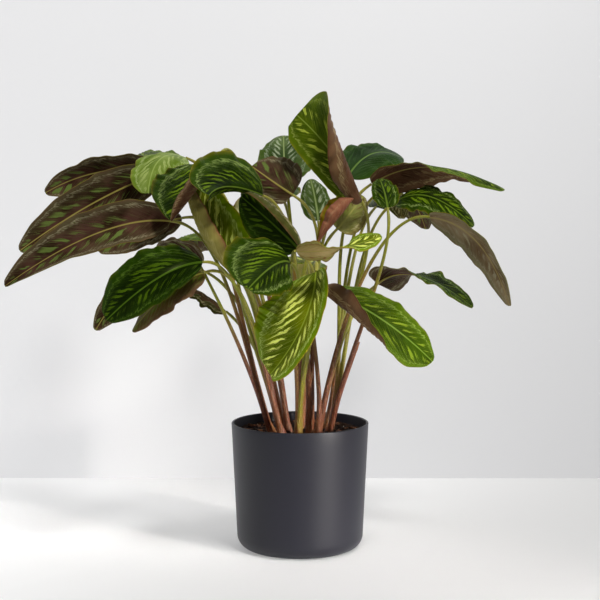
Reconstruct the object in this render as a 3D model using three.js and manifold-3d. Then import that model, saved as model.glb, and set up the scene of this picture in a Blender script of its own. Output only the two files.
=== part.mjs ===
// A potted patterned calathea, in millimetres, +Z up.
// The origin is on the floor in the middle of the pot.
import * as THREE from 'three';
import Module from 'manifold-3d';
import { mergeVertices } from 'three/addons/utils/BufferGeometryUtils.js';

const wasm = await Module();
wasm.setup();

// Pot
const POT_HEIGHT = 166;
const POT_RIM_RADIUS = 90;
const POT_FOOT_RADIUS = 83;
const POT_WALL = 3;
const POT_FLOOR = 5;
const POT_EDGE_RADIUS = 18;
const POT_SIDES = 48;

// Soil
const SOIL_HEIGHT = 153;
const SOIL_GAP = 0.35;
const SOIL_RELIEF = 2.2;
const SOIL_SIDES = 30;
const SOIL_RINGS = [0.25, 0.5, 0.75, 0.93, 1];
const CHIP_COUNT = 14;
const CHIP_SIZE = 5;

// Shoots: a sheathed foot in the soil, from which the leaf stalks part
const FOOT_DEPTH = 26;
const FOOT_RISE = 16;
const FOOT_RADIUS = 6;
const FOOT_TOP_RADIUS = 4.4;
const FOOT_SIDES = 8;
const FOOT_CLEARANCE = 0.6;
const STALK_RADII = [3.6, 1.7];
const STALK_SIDES = 5;
const STALK_STEPS = 6;
const STALK_GAP = 0.6;
const STALK_FLAT = 0.75;
const STALK_END = 5;
const STALK_ARCH = 0.24;
const STALK_RISE = 0.42;

// Leaves
const BLADE_THICKNESS = 0.95;
const MIDRIB_THICKNESS = 2.4;
const BLADE_STEPS = 12;
const HALF_STEPS = 2;
const NECK_HALF_WIDTH = 1.9;
const OUTLINE_SHAPE = [0.82, 0.5];
const SECTION_STEPS = 12;
const WAVE_HEIGHT = 2.6;
const WAVES = 3.2;
const WAVE_SHIFT = 2.4;
const WAVE_OFFSET = 2.1;

const COLOURS = {
  pot: 0x3a3a3c,
  soil: 0x2c1c13,
  stalk: 0x7a6a33,
  dark: 0x25521f,
  mid: 0x3f6f2a,
  young: 0x8fa83a,
  purple: 0x5a3a3c,
};

// Where each shoot stands on the soil, and the way it leans
const SHOOTS = {
  far_left: { foot: [-36, -12], lean: [-0.3, -0.08] },
  front_left: { foot: [-22, -30], lean: [-0.24, -0.1] },
  centre_left: { foot: [-14, -6], lean: [-0.12, -0.04] },
  front: { foot: [-2, -30], lean: [0, -0.14] },
  centre: { foot: [12, -9], lean: [0.06, -0.02] },
  centre_back: { foot: [2, 14], lean: [0, 0.02] },
  front_right: { foot: [22, -29], lean: [0.14, -0.1] },
  far_right: { foot: [37, -9], lean: [0.22, -0.02] },
  back_left: { foot: [-21, 20], lean: [-0.2, 0.16] },
  back: { foot: [-1, 35], lean: [0.04, 0.22] },
  back_right: { foot: [35, 28], lean: [0.18, 0.16] },
};

// A stalk whose leaf has been cut away: its shoot and its cut top
const CUT_STALK = { shoot: 'far_right', top: [76, -22, 274] };

// Each leaf: neck, middle and tip of its midrib; the way the top of the blade faces; the widths
// of its left and right halves; the fold, at which each half rises from the midrib, and the curl,
// by which it bends on towards the edge, in degrees and positive towards the top; the twist of
// the blade from neck to tip; the share of fold and curl that is gone at the tip (ease); how early
// the blade is widest and how pointed it is (shape); and how far, as a share of its length, the
// stalk arches over (arch), the way it arrives (arrive) and its radius at both ends (stalk).
const LEAVES = [
  {
    name: 'long_left', shoot: 'far_left', colour: 'purple',
    neck: [-165, -50, 431], middle: [-253, -84, 416], tip: [-366, -90, 351],
    face: [0.1, 0.9, 0.45], width: [34, 29], left: [6, -14], right: [-34, -30], ease: -0.8,
  },
  {
    name: 'left_flap', shoot: 'centre_left', colour: 'purple',
    neck: [-152, -20, 434], middle: [-198, -12, 421], tip: [-262, -8, 392],
    face: [0.1, 0.9, 0.45], width: [22, 24], left: [0, -20], right: [-30, -30],
    shape: [1.1, 0.42],
  },
  {
    name: 'mid_left', shoot: 'far_left', colour: 'purple',
    neck: [-190, 26, 490], middle: [-272, 0, 451], tip: [-360, -25, 392],
    face: [0.2, 0.85, 0.5], width: [34, 36], left: [6, -18], right: [-30, -30],
  },
  {
    name: 'high_left', shoot: 'back_left', colour: 'purple',
    neck: [-180, 58, 496], middle: [-264, 42, 494], tip: [-336, 30, 466],
    face: [0.1, 0.75, 0.65], width: [26, 30], left: [6, -16], right: [-35, -30],
  },
  {
    name: 'far_left', shoot: 'back_left', colour: 'mid',
    neck: [-165, 95, 504], middle: [-228, 150, 514], tip: [-280, 210, 495],
    face: [-0.15, -0.35, 0.95], width: [34, 34], left: [8, -25], right: [8, -25],
  },
  {
    name: 'young_left', shoot: 'centre_left', colour: 'young',
    neck: [-150, 27, 512], middle: [-180, -14, 509], tip: [-192, -48, 466],
    face: [-0.2, -0.6, 0.75], width: [38, 40], left: [-5, -30], right: [-5, -20],
    shape: [0.9, 0.4],
  },
  {
    name: 'round_left', shoot: 'centre_left', colour: 'dark',
    neck: [-104, -45, 510], middle: [-125, -74, 476], tip: [-158, -98, 432],
    face: [-0.2, -0.95, 0.2], width: [30, 66], left: [60, 220], right: [-8, -24],
    shape: [1.3, 0.5],
  },
  {
    name: 'young_roll', shoot: 'front_left', colour: 'young',
    neck: [-80, -46, 368], middle: [-112, -52, 420], tip: [-142, -36, 480],
    face: [0.25, -0.95, 0.1], width: [54, 42], left: [10, 190], right: [5, 40],
    stalk: [3.4, 4.6],
  },
  {
    name: 'centre_left', shoot: 'centre_back', colour: 'dark',
    neck: [-47, -62, 463], middle: [-86, -112, 474], tip: [-108, -150, 464],
    face: [-0.1, -0.95, 0.3], width: [26, 52], left: [-85, -40], right: [6, -22],
    shape: [0.95, 0.5],
  },
  {
    name: 'under_top', shoot: 'centre_back', colour: 'purple',
    neck: [-10, -30, 464], middle: [-34, -24, 480], tip: [-62, -14, 500],
    face: [0, 0.9, -0.35], width: [40, 24], left: [0, 15], right: [0, 15],
    shape: [0.8, 0.36],
  },
  {
    name: 'silver_top', shoot: 'centre_back', colour: 'mid',
    neck: [-18, 4, 482], middle: [-21, 40, 512], tip: [-22, 84, 543],
    face: [-0.05, -0.5, 0.85], width: [36, 38], left: [6, -18], right: [6, -18],
    stalk: [4.6, 1.7], arch: 0.12,
  },
  {
    name: 'tall_top', shoot: 'front_right', colour: 'mid',
    neck: [78, -30, 457], middle: [39, -48, 518], tip: [-4, -28, 565],
    face: [-0.2, -0.95, 0.15], width: [34, 58], left: [-4, -14], right: [60, 300], ease: 1,
    shape: [1.35, 0.16],
  },
  {
    name: 'upper_right', shoot: 'back', colour: 'dark',
    neck: [62, 15, 486], middle: [97, 50, 518], tip: [140, 85, 512],
    face: [0, -0.6, 0.8], width: [38, 38], left: [0, -20], right: [5, -25],
  },
  {
    name: 'right_twist', shoot: 'far_right', colour: 'purple',
    neck: [94, 10, 478], middle: [171, -5, 500], tip: [262, -25, 470],
    face: [0, 0.15, 0.98], width: [34, 32], left: [-40, -25], right: [-5, -20], twist: 80, ease: 0.5,
  },
  {
    name: 'small_right', shoot: 'far_right', colour: 'dark',
    neck: [110, -62, 448], middle: [107, -46, 467], tip: [102, -22, 484],
    face: [0, -0.6, 0.8], width: [17, 18], left: [10, -15], right: [10, -15],
  },
  {
    name: 'right_droop', shoot: 'far_right', colour: 'dark',
    neck: [124, -8, 455], middle: [167, -36, 461], tip: [220, -48, 424],
    face: [0.1, -0.6, 0.8], width: [30, 28], left: [0, -20], right: [-5, -25],
  },
  {
    name: 'right_hidden', shoot: 'back_right', colour: 'purple',
    neck: [100, 60, 462], middle: [128, 95, 470], tip: [142, 125, 430],
    face: [0.2, 0.5, 0.85], width: [28, 26], left: [-20, -30], right: [-20, -30],
  },
  {
    name: 'right_low', shoot: 'front_right', colour: 'purple',
    neck: [164, -60, 436], middle: [220, -88, 406], tip: [262, -82, 326],
    face: [0.45, 0.85, 0.25], width: [22, 24], left: [0, -20], right: [-35, -20],
  },
  {
    name: 'right_fold', shoot: 'front_right', colour: 'purple',
    neck: [100, -20, 349], middle: [150, -42, 361], tip: [218, -62, 322],
    face: [0, 0.3, 0.95], width: [44, 28], left: [30, 0], right: [-5, -20], twist: 90, ease: 0.6,
    shape: [0.48, 0.55],
  },
  {
    name: 'front_right', shoot: 'front_right', colour: 'dark',
    neck: [34, -72, 344], middle: [100, -112, 312], tip: [162, -124, 261],
    face: [0.15, -0.85, 0.5], width: [34, 64], left: [-5, -25], right: [5, 230], ease: 0.95,
  },
  {
    name: 'young_front', shoot: 'front', colour: 'young',
    neck: [20, -112, 370], middle: [4, -150, 310], tip: [-36, -138, 247],
    face: [-0.2, -0.95, 0.15], width: [34, 64], left: [40, 10], right: [-5, -22],
    shape: [1.2, 0.24], stalk: [4.8, 2.2],
  },
  {
    name: 'front_left', shoot: 'front', colour: 'dark',
    neck: [-12, -119, 382], middle: [-31, -159, 381], tip: [-60, -205, 356],
    face: [-0.15, -0.92, 0.35], width: [36, 64], left: [-20, -30], right: [8, -30],
    shape: [0.95, 0.42],
  },
  {
    name: 'front_edge', shoot: 'front', colour: 'mid',
    neck: [-4, -142, 397], middle: [46, -160, 401], tip: [97, -150, 416],
    face: [0, -0.15, 0.98], width: [24, 24], left: [-20, -20], right: [20, 10],
    twist: 90, ease: 0.8, arrive: [0.2, -1, 0.15], shape: [0.95, 0.6],
  },
  {
    name: 'dark_hang', shoot: 'front', colour: 'dark',
    neck: [-2, -96, 398], middle: [-38, -88, 432], tip: [-74, -66, 462],
    face: [0, -1, 0.05], width: [34, 44], left: [-5, -30], right: [10, 170], ease: 0.2,
  },
  {
    name: 'pale_small', shoot: 'front_left', colour: 'young',
    neck: [-80, -16, 402], middle: [-76, -13, 430], tip: [-72, -8, 462],
    face: [0.2, -0.95, 0], width: [18, 18], left: [0, 40], right: [0, 40],
  },
  {
    name: 'rolled_new', shoot: 'centre', colour: 'purple',
    neck: [21, -60, 402], middle: [44, -58, 432], tip: [67, -53, 459],
    face: [-0.3, -0.95, 0.15], width: [22, 32], left: [0, 20], right: [50, 170],
    shape: [1.5, 0.8], stalk: [5, 2.8],
  },
  {
    name: 'grey_back', shoot: 'centre_back', colour: 'mid',
    neck: [24, 12, 430], middle: [20, 26, 458], tip: [14, 50, 484],
    face: [0, -0.9, 0.45], width: [20, 20], left: [0, -20], right: [0, -20],
  },
  {
    name: 'mottled', shoot: 'centre', colour: 'purple',
    neck: [48, -20, 420], middle: [62, -12, 436], tip: [82, -2, 462],
    face: [0.1, 0.9, 0], width: [24, 24], left: [0, -20], right: [0, -20],
  },
  {
    name: 'low_left', shoot: 'front_left', colour: 'dark',
    neck: [-121, -90, 381], middle: [-172, -122, 364], tip: [-236, -125, 312],
    face: [-0.1, -0.88, 0.5], width: [30, 46], left: [-40, -30], right: [6, -20],
    shape: [1.25, 0.36],
  },
  {
    name: 'low_left_back', shoot: 'far_left', colour: 'purple',
    neck: [-128, -36, 374], middle: [-150, -20, 392], tip: [-186, 10, 392],
    face: [0, 0.8, 0.6], width: [24, 24], left: [0, -20], right: [0, -20],
  },
  {
    name: 'low_left_under', shoot: 'front_left', colour: 'mid',
    neck: [-122, -62, 366], middle: [-166, -72, 342], tip: [-212, -62, 292],
    face: [0.1, -0.5, 0.85], width: [24, 26], left: [-10, -20], right: [-10, -20],
  },
  {
    name: 'low_left_far', shoot: 'back_left', colour: 'purple',
    neck: [-143, 10, 366], middle: [-216, 30, 347], tip: [-272, 30, 284],
    face: [-0.2, 0.8, 0.5], width: [28, 28], left: [0, -25], right: [0, -25],
  },
  {
    name: 'dry_curl', shoot: 'back_left', colour: 'purple',
    neck: [-98, 20, 310], middle: [-128, 36, 330], tip: [-156, 50, 341],
    face: [0, 0.6, 0.8], width: [17, 17], left: [0, -90], right: [0, -90],
  },
  {
    name: 'back_low_left', shoot: 'back_left', colour: 'mid',
    neck: [-105, 120, 400], middle: [-150, 180, 405], tip: [-190, 240, 350],
    face: [-0.3, 0.4, 0.85], width: [42, 40], left: [-5, -25], right: [-5, -25],
  },
  {
    name: 'back_high', shoot: 'back', colour: 'dark',
    neck: [-25, 100, 462], middle: [-45, 170, 480], tip: [-60, 250, 440],
    face: [-0.1, 0.3, 0.95], width: [42, 44], left: [-5, -25], right: [-5, -25],
  },
  {
    name: 'back_mid', shoot: 'back', colour: 'young',
    neck: [10, 110, 368], middle: [0, 190, 368], tip: [-10, 255, 310],
    face: [0.1, 0.4, 0.85], width: [42, 40], left: [-5, -25], right: [-5, -25],
  },
  {
    name: 'back_right_high', shoot: 'back_right', colour: 'dark',
    neck: [105, 120, 446], middle: [150, 185, 462], tip: [185, 240, 412],
    face: [0.3, 0.3, 0.9], width: [38, 40], left: [-5, -25], right: [-5, -25],
  },
  {
    name: 'back_right_low', shoot: 'back_right', colour: 'mid',
    neck: [76, 130, 316], middle: [102, 200, 312], tip: [124, 260, 256],
    face: [0.2, 0.4, 0.85], width: [38, 36], left: [-5, -25], right: [-5, -25],
  },
];

// A repeatable source of numbers from 0 to 1
function seeded(seed) {
  let state = seed;
  return () => {
    state = (state * 16807) % 2147483647;
    return state / 2147483647;
  };
}

function vector(values) {
  return new THREE.Vector3(...values);
}

function radians(degrees) {
  return THREE.MathUtils.degToRad(degrees);
}

function geometryFrom(points, triangles) {
  const geometry = new THREE.BufferGeometry();
  const values = points.flatMap((p) => [p.x, p.y, p.z]);
  geometry.setAttribute('position', new THREE.Float32BufferAttribute(values, 3));
  geometry.setIndex(triangles);
  return geometry;
}

function toSolid(geometry) {
  const bare = geometry.clone();
  bare.deleteAttribute('normal');
  bare.deleteAttribute('uv');
  const merged = mergeVertices(bare, 1e-4);
  return new wasm.Manifold(new wasm.Mesh({
    numProp: 3,
    vertProperties: new Float32Array(merged.attributes.position.array),
    triVerts: new Uint32Array(merged.index.array),
  }));
}

function fromSolid(solid) {
  const mesh = solid.getMesh();
  const geometry = new THREE.BufferGeometry();
  geometry.setAttribute('position', new THREE.BufferAttribute(mesh.vertProperties, 3));
  geometry.setIndex(new THREE.BufferAttribute(mesh.triVerts, 1));
  return geometry;
}

function join(geometries) {
  return geometries.map(toSolid).reduce((whole, next) => whole.add(next));
}

// The curve through a leaf's neck, middle and tip
function midribCurve(leaf) {
  const neck = vector(leaf.neck);
  const tip = vector(leaf.tip);
  const bend = vector(leaf.middle).multiplyScalar(2);
  bend.sub(neck.clone().add(tip).multiplyScalar(0.5));
  return new THREE.QuadraticBezierCurve3(neck, bend, tip);
}

// Half the width of a blade at u, from 0 at the neck to 1 at the tip, as a share of the greatest
function outline(leaf, u) {
  const [early, blunt] = leaf.shape ?? OUTLINE_SHAPE;
  const oval = Math.sin(Math.PI * Math.pow(u, early));
  const point = 1 - 0.2 * THREE.MathUtils.smoothstep(u, 0.85, 1);
  return Math.pow(Math.max(oval, 0), blunt) * point;
}

// A point of a blade's middle surface. v runs from -1 at the left edge to 1 at the right one.
function bladePoint(leaf, curve, u, v) {
  const centre = curve.getPoint(u);
  const along = curve.getTangent(u);
  const up = vector(leaf.face);
  up.addScaledVector(along, -up.dot(along)).normalize();
  up.applyAxisAngle(along, radians((leaf.twist ?? 0) * (u - 0.5)));
  const side = along.clone().cross(up);
  const half = v < 0 ? 0 : 1;
  const [fold, curl] = half ? leaf.right : leaf.left;
  const share = 1 - (leaf.ease ?? 0) * u;
  const reach = NECK_HALF_WIDTH + (leaf.width[half] - NECK_HALF_WIDTH) * outline(leaf, u);
  const point = centre.clone();
  const step = (reach * Math.abs(v)) / SECTION_STEPS;
  for (let i = 0; i < SECTION_STEPS; i += 1) {
    const w = (Math.abs(v) * (i + 0.5)) / SECTION_STEPS;
    const angle = radians(share * (fold + curl * Math.pow(w, 1.3)));
    point.addScaledVector(side, Math.sign(v) * Math.cos(angle) * step);
    point.addScaledVector(up, Math.sin(angle) * step);
  }
  const phase = leaf.phase + (half ? 0 : WAVE_OFFSET);
  const rise = Math.sin(2 * Math.PI * WAVES * u + phase) * WAVE_HEIGHT;
  point.addScaledVector(up, rise * v * v * Math.sin(Math.PI * u));
  return point;
}

// The blade's surface normal, towards the top of the leaf
function bladeNormal(leaf, curve, u, v) {
  const d = 0.01;
  const lengthwise = bladePoint(leaf, curve, Math.min(u + d, 1), v);
  lengthwise.sub(bladePoint(leaf, curve, Math.max(u - d, 0), v));
  const across = bladePoint(leaf, curve, u, Math.min(v + d, 1));
  across.sub(bladePoint(leaf, curve, u, Math.max(v - d, -1)));
  return across.cross(lengthwise).normalize();
}

// A blade: a top and an under grid with the same triangles, closed round the edge
function bladeGeometry(leaf) {
  const curve = midribCurve(leaf);
  const rows = BLADE_STEPS + 1;
  const columns = 2 * HALF_STEPS + 1;
  const points = [];
  for (const face of [0.5, -0.5]) {
    for (let i = 0; i < rows; i += 1) {
      for (let j = 0; j < columns; j += 1) {
        const u = i / BLADE_STEPS;
        const v = j / HALF_STEPS - 1;
        const rib = Math.max(0, 1 - 2 * Math.abs(v)) * (1 - 0.6 * u);
        const thickness = BLADE_THICKNESS + (MIDRIB_THICKNESS - BLADE_THICKNESS) * rib;
        const point = bladePoint(leaf, curve, u, v);
        points.push(point.addScaledVector(bladeNormal(leaf, curve, u, v), face * thickness));
      }
    }
  }
  const under = rows * columns;
  const at = (i, j) => i * columns + j;
  const triangles = [];
  for (let i = 0; i < rows - 1; i += 1) {
    for (let j = 0; j < columns - 1; j += 1) {
      const [a, b, c, d] = [at(i, j), at(i, j + 1), at(i + 1, j + 1), at(i + 1, j)];
      triangles.push(a, b, c, a, c, d);
      triangles.push(under + a, under + c, under + b, under + a, under + d, under + c);
    }
  }
  const rim = [];
  for (let j = 0; j < columns - 1; j += 1) rim.push(at(0, j));
  for (let i = 0; i < rows - 1; i += 1) rim.push(at(i, columns - 1));
  for (let j = columns - 1; j > 0; j -= 1) rim.push(at(rows - 1, j));
  for (let i = rows - 1; i > 0; i -= 1) rim.push(at(i, 0));
  rim.forEach((a, k) => {
    const b = rim[(k + 1) % rim.length];
    triangles.push(a, under + a, under + b, a, under + b, b);
  });
  return geometryFrom(points, triangles);
}

// A closed tube along a list of points, with a radius for each
function tubeGeometry(path, radii, sides) {
  const points = [];
  const triangles = [];
  const side = new THREE.Vector3(1, 0, 0);
  path.forEach((centre, i) => {
    const before = path[Math.max(i - 1, 0)];
    const after = path[Math.min(i + 1, path.length - 1)];
    const along = after.clone().sub(before).normalize();
    side.addScaledVector(along, -side.dot(along)).normalize();
    const other = along.clone().cross(side);
    for (let k = 0; k < sides; k += 1) {
      const angle = (2 * Math.PI * k) / sides;
      const point = centre.clone();
      point.addScaledVector(side, Math.cos(angle) * radii[i]);
      point.addScaledVector(other, Math.sin(angle) * radii[i]);
      points.push(point);
    }
  });
  for (let i = 0; i < path.length - 1; i += 1) {
    for (let k = 0; k < sides; k += 1) {
      const next = (k + 1) % sides;
      const [a, b] = [i * sides + k, i * sides + next];
      triangles.push(a, b, b + sides, a, b + sides, a + sides);
    }
  }
  const end = (path.length - 1) * sides;
  for (let k = 1; k < sides - 1; k += 1) {
    triangles.push(0, k + 1, k, end, end + k, end + k + 1);
  }
  return geometryFrom(points, triangles);
}

// The line of a shoot's foot: its place on the soil and the way it points
function footLine(shoot) {
  const ground = new THREE.Vector3(shoot.foot[0], shoot.foot[1], SOIL_HEIGHT);
  const way = new THREE.Vector3(shoot.lean[0], shoot.lean[1], 1).normalize();
  return { ground, way };
}

// A stalk from inside its shoot's foot to its end, which it meets along the way given
function stalkGeometry(shoot, towards, end, arrive, arch, [base, top]) {
  const { ground, way } = footLine(shoot);
  const spread = spreadTowards(shoot, towards, base);
  const root = ground.clone().addScaledVector(way, 2).add(spread);
  const last = end.clone().addScaledVector(arrive, -STALK_END);
  const span = last.distanceTo(root);
  const rise = root.clone().addScaledVector(way, span * STALK_RISE);
  const bend = last.clone().addScaledVector(arrive, -arch * span);
  const rod = new THREE.CubicBezierCurve3(root, rise, bend, last);
  const path = [ground.clone().addScaledVector(way, -8).add(spread)];
  const radii = [base];
  for (let i = 0; i <= STALK_STEPS; i += 1) {
    const t = i / STALK_STEPS;
    path.push(rod.getPoint(t));
    radii.push(THREE.MathUtils.lerp(base, top, Math.pow(t, 0.7)));
  }
  path.push(end);
  radii.push(top);
  return tubeGeometry(path, radii, STALK_SIDES);
}

// The way from a shoot's middle towards a point, inside the foot, for a stalk of a radius
function spreadTowards(shoot, [x, y], radius) {
  const away = new THREE.Vector3(x - shoot.foot[0], y - shoot.foot[1], 0);
  return away.setLength(FOOT_RADIUS - radius - 0.5);
}

// A leaf's stalk ends just short of the blade
function leafStalk(leaf) {
  const shoot = SHOOTS[leaf.shoot];
  const curve = midribCurve(leaf);
  const along = curve.getTangent(0);
  const radii = leaf.stalk ?? STALK_RADII;
  const gap = STALK_GAP + (leaf.arrive ? STALK_FLAT * radii[1] : 0);
  const end = curve.getPoint(0).addScaledVector(along, -gap);
  const arrive = leaf.arrive ? vector(leaf.arrive).normalize() : along;
  return stalkGeometry(shoot, leaf.neck, end, arrive, leaf.arch ?? STALK_ARCH, radii);
}

function cutStalk() {
  const shoot = SHOOTS[CUT_STALK.shoot];
  const end = vector(CUT_STALK.top);
  const arrive = end.clone().sub(footLine(shoot).ground).normalize();
  return stalkGeometry(shoot, CUT_STALK.top, end, arrive, STALK_ARCH, STALK_RADII);
}

function footGeometry(shoot, clearance, top) {
  const { ground, way } = footLine(shoot);
  const path = [-FOOT_DEPTH - clearance, 4, top].map((h) => ground.clone().addScaledVector(way, h));
  const radii = [FOOT_RADIUS, FOOT_RADIUS, FOOT_TOP_RADIUS].map((r) => r + clearance);
  return tubeGeometry(path, radii, FOOT_SIDES);
}

// A shoot: its foot and the stalks of its leaves, grown together
function shootGeometry(name) {
  const stalks = LEAVES.filter((leaf) => leaf.shoot === name).map(leafStalk);
  if (name === CUT_STALK.shoot) stalks.push(cutStalk());
  return fromSolid(join([footGeometry(SHOOTS[name], 0, FOOT_RISE), ...stalks]));
}

// The pot: one wall turned round the axis, with a rounded lower edge
function potGeometry() {
  const flat = POT_FOOT_RADIUS - POT_EDGE_RADIUS;
  const profile = [new THREE.Vector2(0, 0), new THREE.Vector2(flat, 0)];
  for (const degrees of [30, 60, 90]) {
    const angle = radians(degrees);
    profile.push(new THREE.Vector2(
      flat + Math.sin(angle) * POT_EDGE_RADIUS,
      POT_EDGE_RADIUS * (1 - Math.cos(angle)),
    ));
  }
  profile.push(new THREE.Vector2(POT_RIM_RADIUS, POT_HEIGHT - 1));
  profile.push(new THREE.Vector2(POT_RIM_RADIUS - 0.8, POT_HEIGHT));
  profile.push(new THREE.Vector2(POT_RIM_RADIUS - POT_WALL + 0.6, POT_HEIGHT));
  profile.push(new THREE.Vector2(POT_RIM_RADIUS - POT_WALL, POT_HEIGHT - 1));
  profile.push(new THREE.Vector2(POT_FOOT_RADIUS - POT_WALL, POT_EDGE_RADIUS));
  profile.push(new THREE.Vector2(POT_FOOT_RADIUS - POT_WALL - 10, POT_FLOOR + 1));
  profile.push(new THREE.Vector2(POT_FOOT_RADIUS - POT_WALL - 14, POT_FLOOR));
  profile.push(new THREE.Vector2(0, POT_FLOOR));
  return turned(profile, POT_SIDES);
}

// A lathe shape standing on the XY plane
function turned(profile, sides) {
  const geometry = new THREE.LatheGeometry(profile, sides);
  geometry.rotateX(Math.PI / 2);
  return fromSolid(toSolid(geometry));
}

// How high the soil stands at a point
function soilHeight(x, y) {
  const ripple = Math.sin(x / 9 + 1.3) * Math.cos(y / 11 - 0.6) + Math.sin((x + y) / 6.1);
  return SOIL_HEIGHT + (SOIL_RELIEF * ripple) / 2;
}

// The inner radius of the pot at a height
function innerRadius(z) {
  const share = (z - POT_EDGE_RADIUS) / (POT_HEIGHT - 1 - POT_EDGE_RADIUS);
  return THREE.MathUtils.lerp(POT_FOOT_RADIUS, POT_RIM_RADIUS, share) - POT_WALL;
}

// The soil without its holes: a plug that fills the pot, with an uneven top
function soilPlug() {
  const lip = innerRadius(SOIL_HEIGHT - 5) - SOIL_GAP - 0.15;
  const foot = POT_FOOT_RADIUS - POT_WALL - SOIL_GAP;
  const rings = [
    [foot - 14.5, POT_FLOOR + SOIL_GAP],
    [foot - 10.3, POT_FLOOR + 1.4],
    [foot - 0.15, POT_EDGE_RADIUS],
    [lip, SOIL_HEIGHT - 5],
  ];
  const points = [new THREE.Vector3(0, 0, POT_FLOOR + SOIL_GAP)];
  const addRing = (radius, height) => {
    for (let k = 0; k < SOIL_SIDES; k += 1) {
      const angle = (2 * Math.PI * k) / SOIL_SIDES;
      const [x, y] = [radius * Math.cos(angle), radius * Math.sin(angle)];
      points.push(new THREE.Vector3(x, y, height ?? soilHeight(x, y)));
    }
  };
  rings.forEach(([radius, height]) => addRing(radius, height));
  [...SOIL_RINGS].reverse().forEach((share) => addRing(lip * share));
  points.push(new THREE.Vector3(0, 0, soilHeight(0, 0)));
  const ringCount = rings.length + SOIL_RINGS.length;
  const triangles = [];
  const last = points.length - 1;
  for (let k = 0; k < SOIL_SIDES; k += 1) {
    const next = (k + 1) % SOIL_SIDES;
    triangles.push(0, 1 + next, 1 + k);
    for (let ring = 0; ring < ringCount - 1; ring += 1) {
      const [a, b] = [1 + ring * SOIL_SIDES + k, 1 + ring * SOIL_SIDES + next];
      triangles.push(a, b, b + SOIL_SIDES, a, b + SOIL_SIDES, a + SOIL_SIDES);
    }
    const top = 1 + (ringCount - 1) * SOIL_SIDES;
    triangles.push(top + k, top + next, last);
  }
  return geometryFrom(points, triangles);
}

// Bark chips lying half sunk in the soil, clear of the wall and the shoots
function barkChips() {
  const random = seeded(41);
  const chips = [];
  while (chips.length < CHIP_COUNT) {
    const angle = random() * 2 * Math.PI;
    const distance = 20 + random() * (POT_RIM_RADIUS - 36);
    const [x, y] = [distance * Math.cos(angle), distance * Math.sin(angle)];
    const clear = Object.values(SHOOTS).every(({ foot }) => Math.hypot(x - foot[0], y - foot[1]) > 16);
    const size = CHIP_SIZE * (0.7 + 0.7 * random());
    const chip = new THREE.BoxGeometry(size * 1.9, size * 1.2, size * 0.7);
    chip.rotateX((random() - 0.5) * 0.6);
    chip.rotateY((random() - 0.5) * 0.6);
    chip.rotateZ(random() * Math.PI);
    chip.translate(x, y, soilHeight(x, y) + size * 0.12);
    if (clear) chips.push(chip);
  }
  return chips;
}

function soilGeometry() {
  let soil = join([soilPlug(), ...barkChips()]);
  for (const shoot of Object.values(SHOOTS)) {
    soil = soil.subtract(toSolid(footGeometry(shoot, FOOT_CLEARANCE, FOOT_RISE)));
  }
  return fromSolid(soil);
}

function material(name, roughness) {
  return new THREE.MeshStandardMaterial({ color: COLOURS[name], roughness, metalness: 0 });
}

function named(name, geometry, surface) {
  const mesh = new THREE.Mesh(geometry, surface);
  mesh.name = name;
  return mesh;
}

const plant = new THREE.Group();
plant.add(named('pot', potGeometry(), material('pot', 0.45)));
plant.add(named('soil', soilGeometry(), material('soil', 0.95)));
for (const name of Object.keys(SHOOTS)) {
  plant.add(named(`shoot_${name}`, shootGeometry(name), material('stalk', 0.5)));
}
LEAVES.forEach((leaf, i) => {
  const blade = bladeGeometry({ ...leaf, phase: i * WAVE_SHIFT });
  plant.add(named(`leaf_${leaf.name}`, blade, material(leaf.colour, 0.4)));
});

export default plant;
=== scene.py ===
"""A potted patterned calathea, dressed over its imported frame. Metres, +Z up.

Shapes are worked out in millimetres, and make_piece turns them into metres.
"""

import math

import bpy
import numpy as np
from mathutils import Euler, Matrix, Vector


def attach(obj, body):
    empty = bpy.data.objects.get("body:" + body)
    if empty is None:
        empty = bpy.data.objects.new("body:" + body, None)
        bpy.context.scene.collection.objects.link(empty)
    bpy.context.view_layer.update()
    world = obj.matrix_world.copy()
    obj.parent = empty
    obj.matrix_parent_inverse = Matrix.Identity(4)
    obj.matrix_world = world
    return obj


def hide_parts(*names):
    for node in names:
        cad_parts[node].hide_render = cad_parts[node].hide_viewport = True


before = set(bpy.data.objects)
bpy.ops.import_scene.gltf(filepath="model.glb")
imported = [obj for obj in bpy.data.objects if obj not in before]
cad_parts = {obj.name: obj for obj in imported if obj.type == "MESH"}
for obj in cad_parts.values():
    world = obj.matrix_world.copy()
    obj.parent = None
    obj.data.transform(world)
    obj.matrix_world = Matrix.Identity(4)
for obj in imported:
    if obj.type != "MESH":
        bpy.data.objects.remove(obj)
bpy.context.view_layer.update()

MM = 0.001

# Pot
POT_HEIGHT = 166
POT_RIM_RADIUS = 90
POT_FOOT_RADIUS = 83
POT_WALL = 3
POT_FLOOR = 5
POT_EDGE_RADIUS = 18
POT_LIP_RISE = 1.4
POT_SIDES = 160
POT_WALL_STEPS = 8
EDGE_STEP_DEGREES = 10
LIP_STEP_DEGREES = 15
# The bevel inside, from wall to floor: how far in from the wall, and how far above the floor
POT_BEVEL = ((10, 1), (14, 0))

# Soil. Its edge keeps a small gap to the pot's wall, floor and bevel
SOIL_HEIGHT = 153
SOIL_GAP = 0.35
SOIL_WALL_GAP = 0.15
SOIL_EDGE_DROP = 5
SOIL_BEVEL = ((14.5, SOIL_GAP), (10.3, 1.4))
SOIL_RELIEF = 2.2
SOIL_LUMPS = 0.6
SOIL_SIDES = 180
SOIL_RINGS = 70
# How far below the rim the straight part of the pot's wall ends
WALL_TOP_DROP = 1

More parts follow.
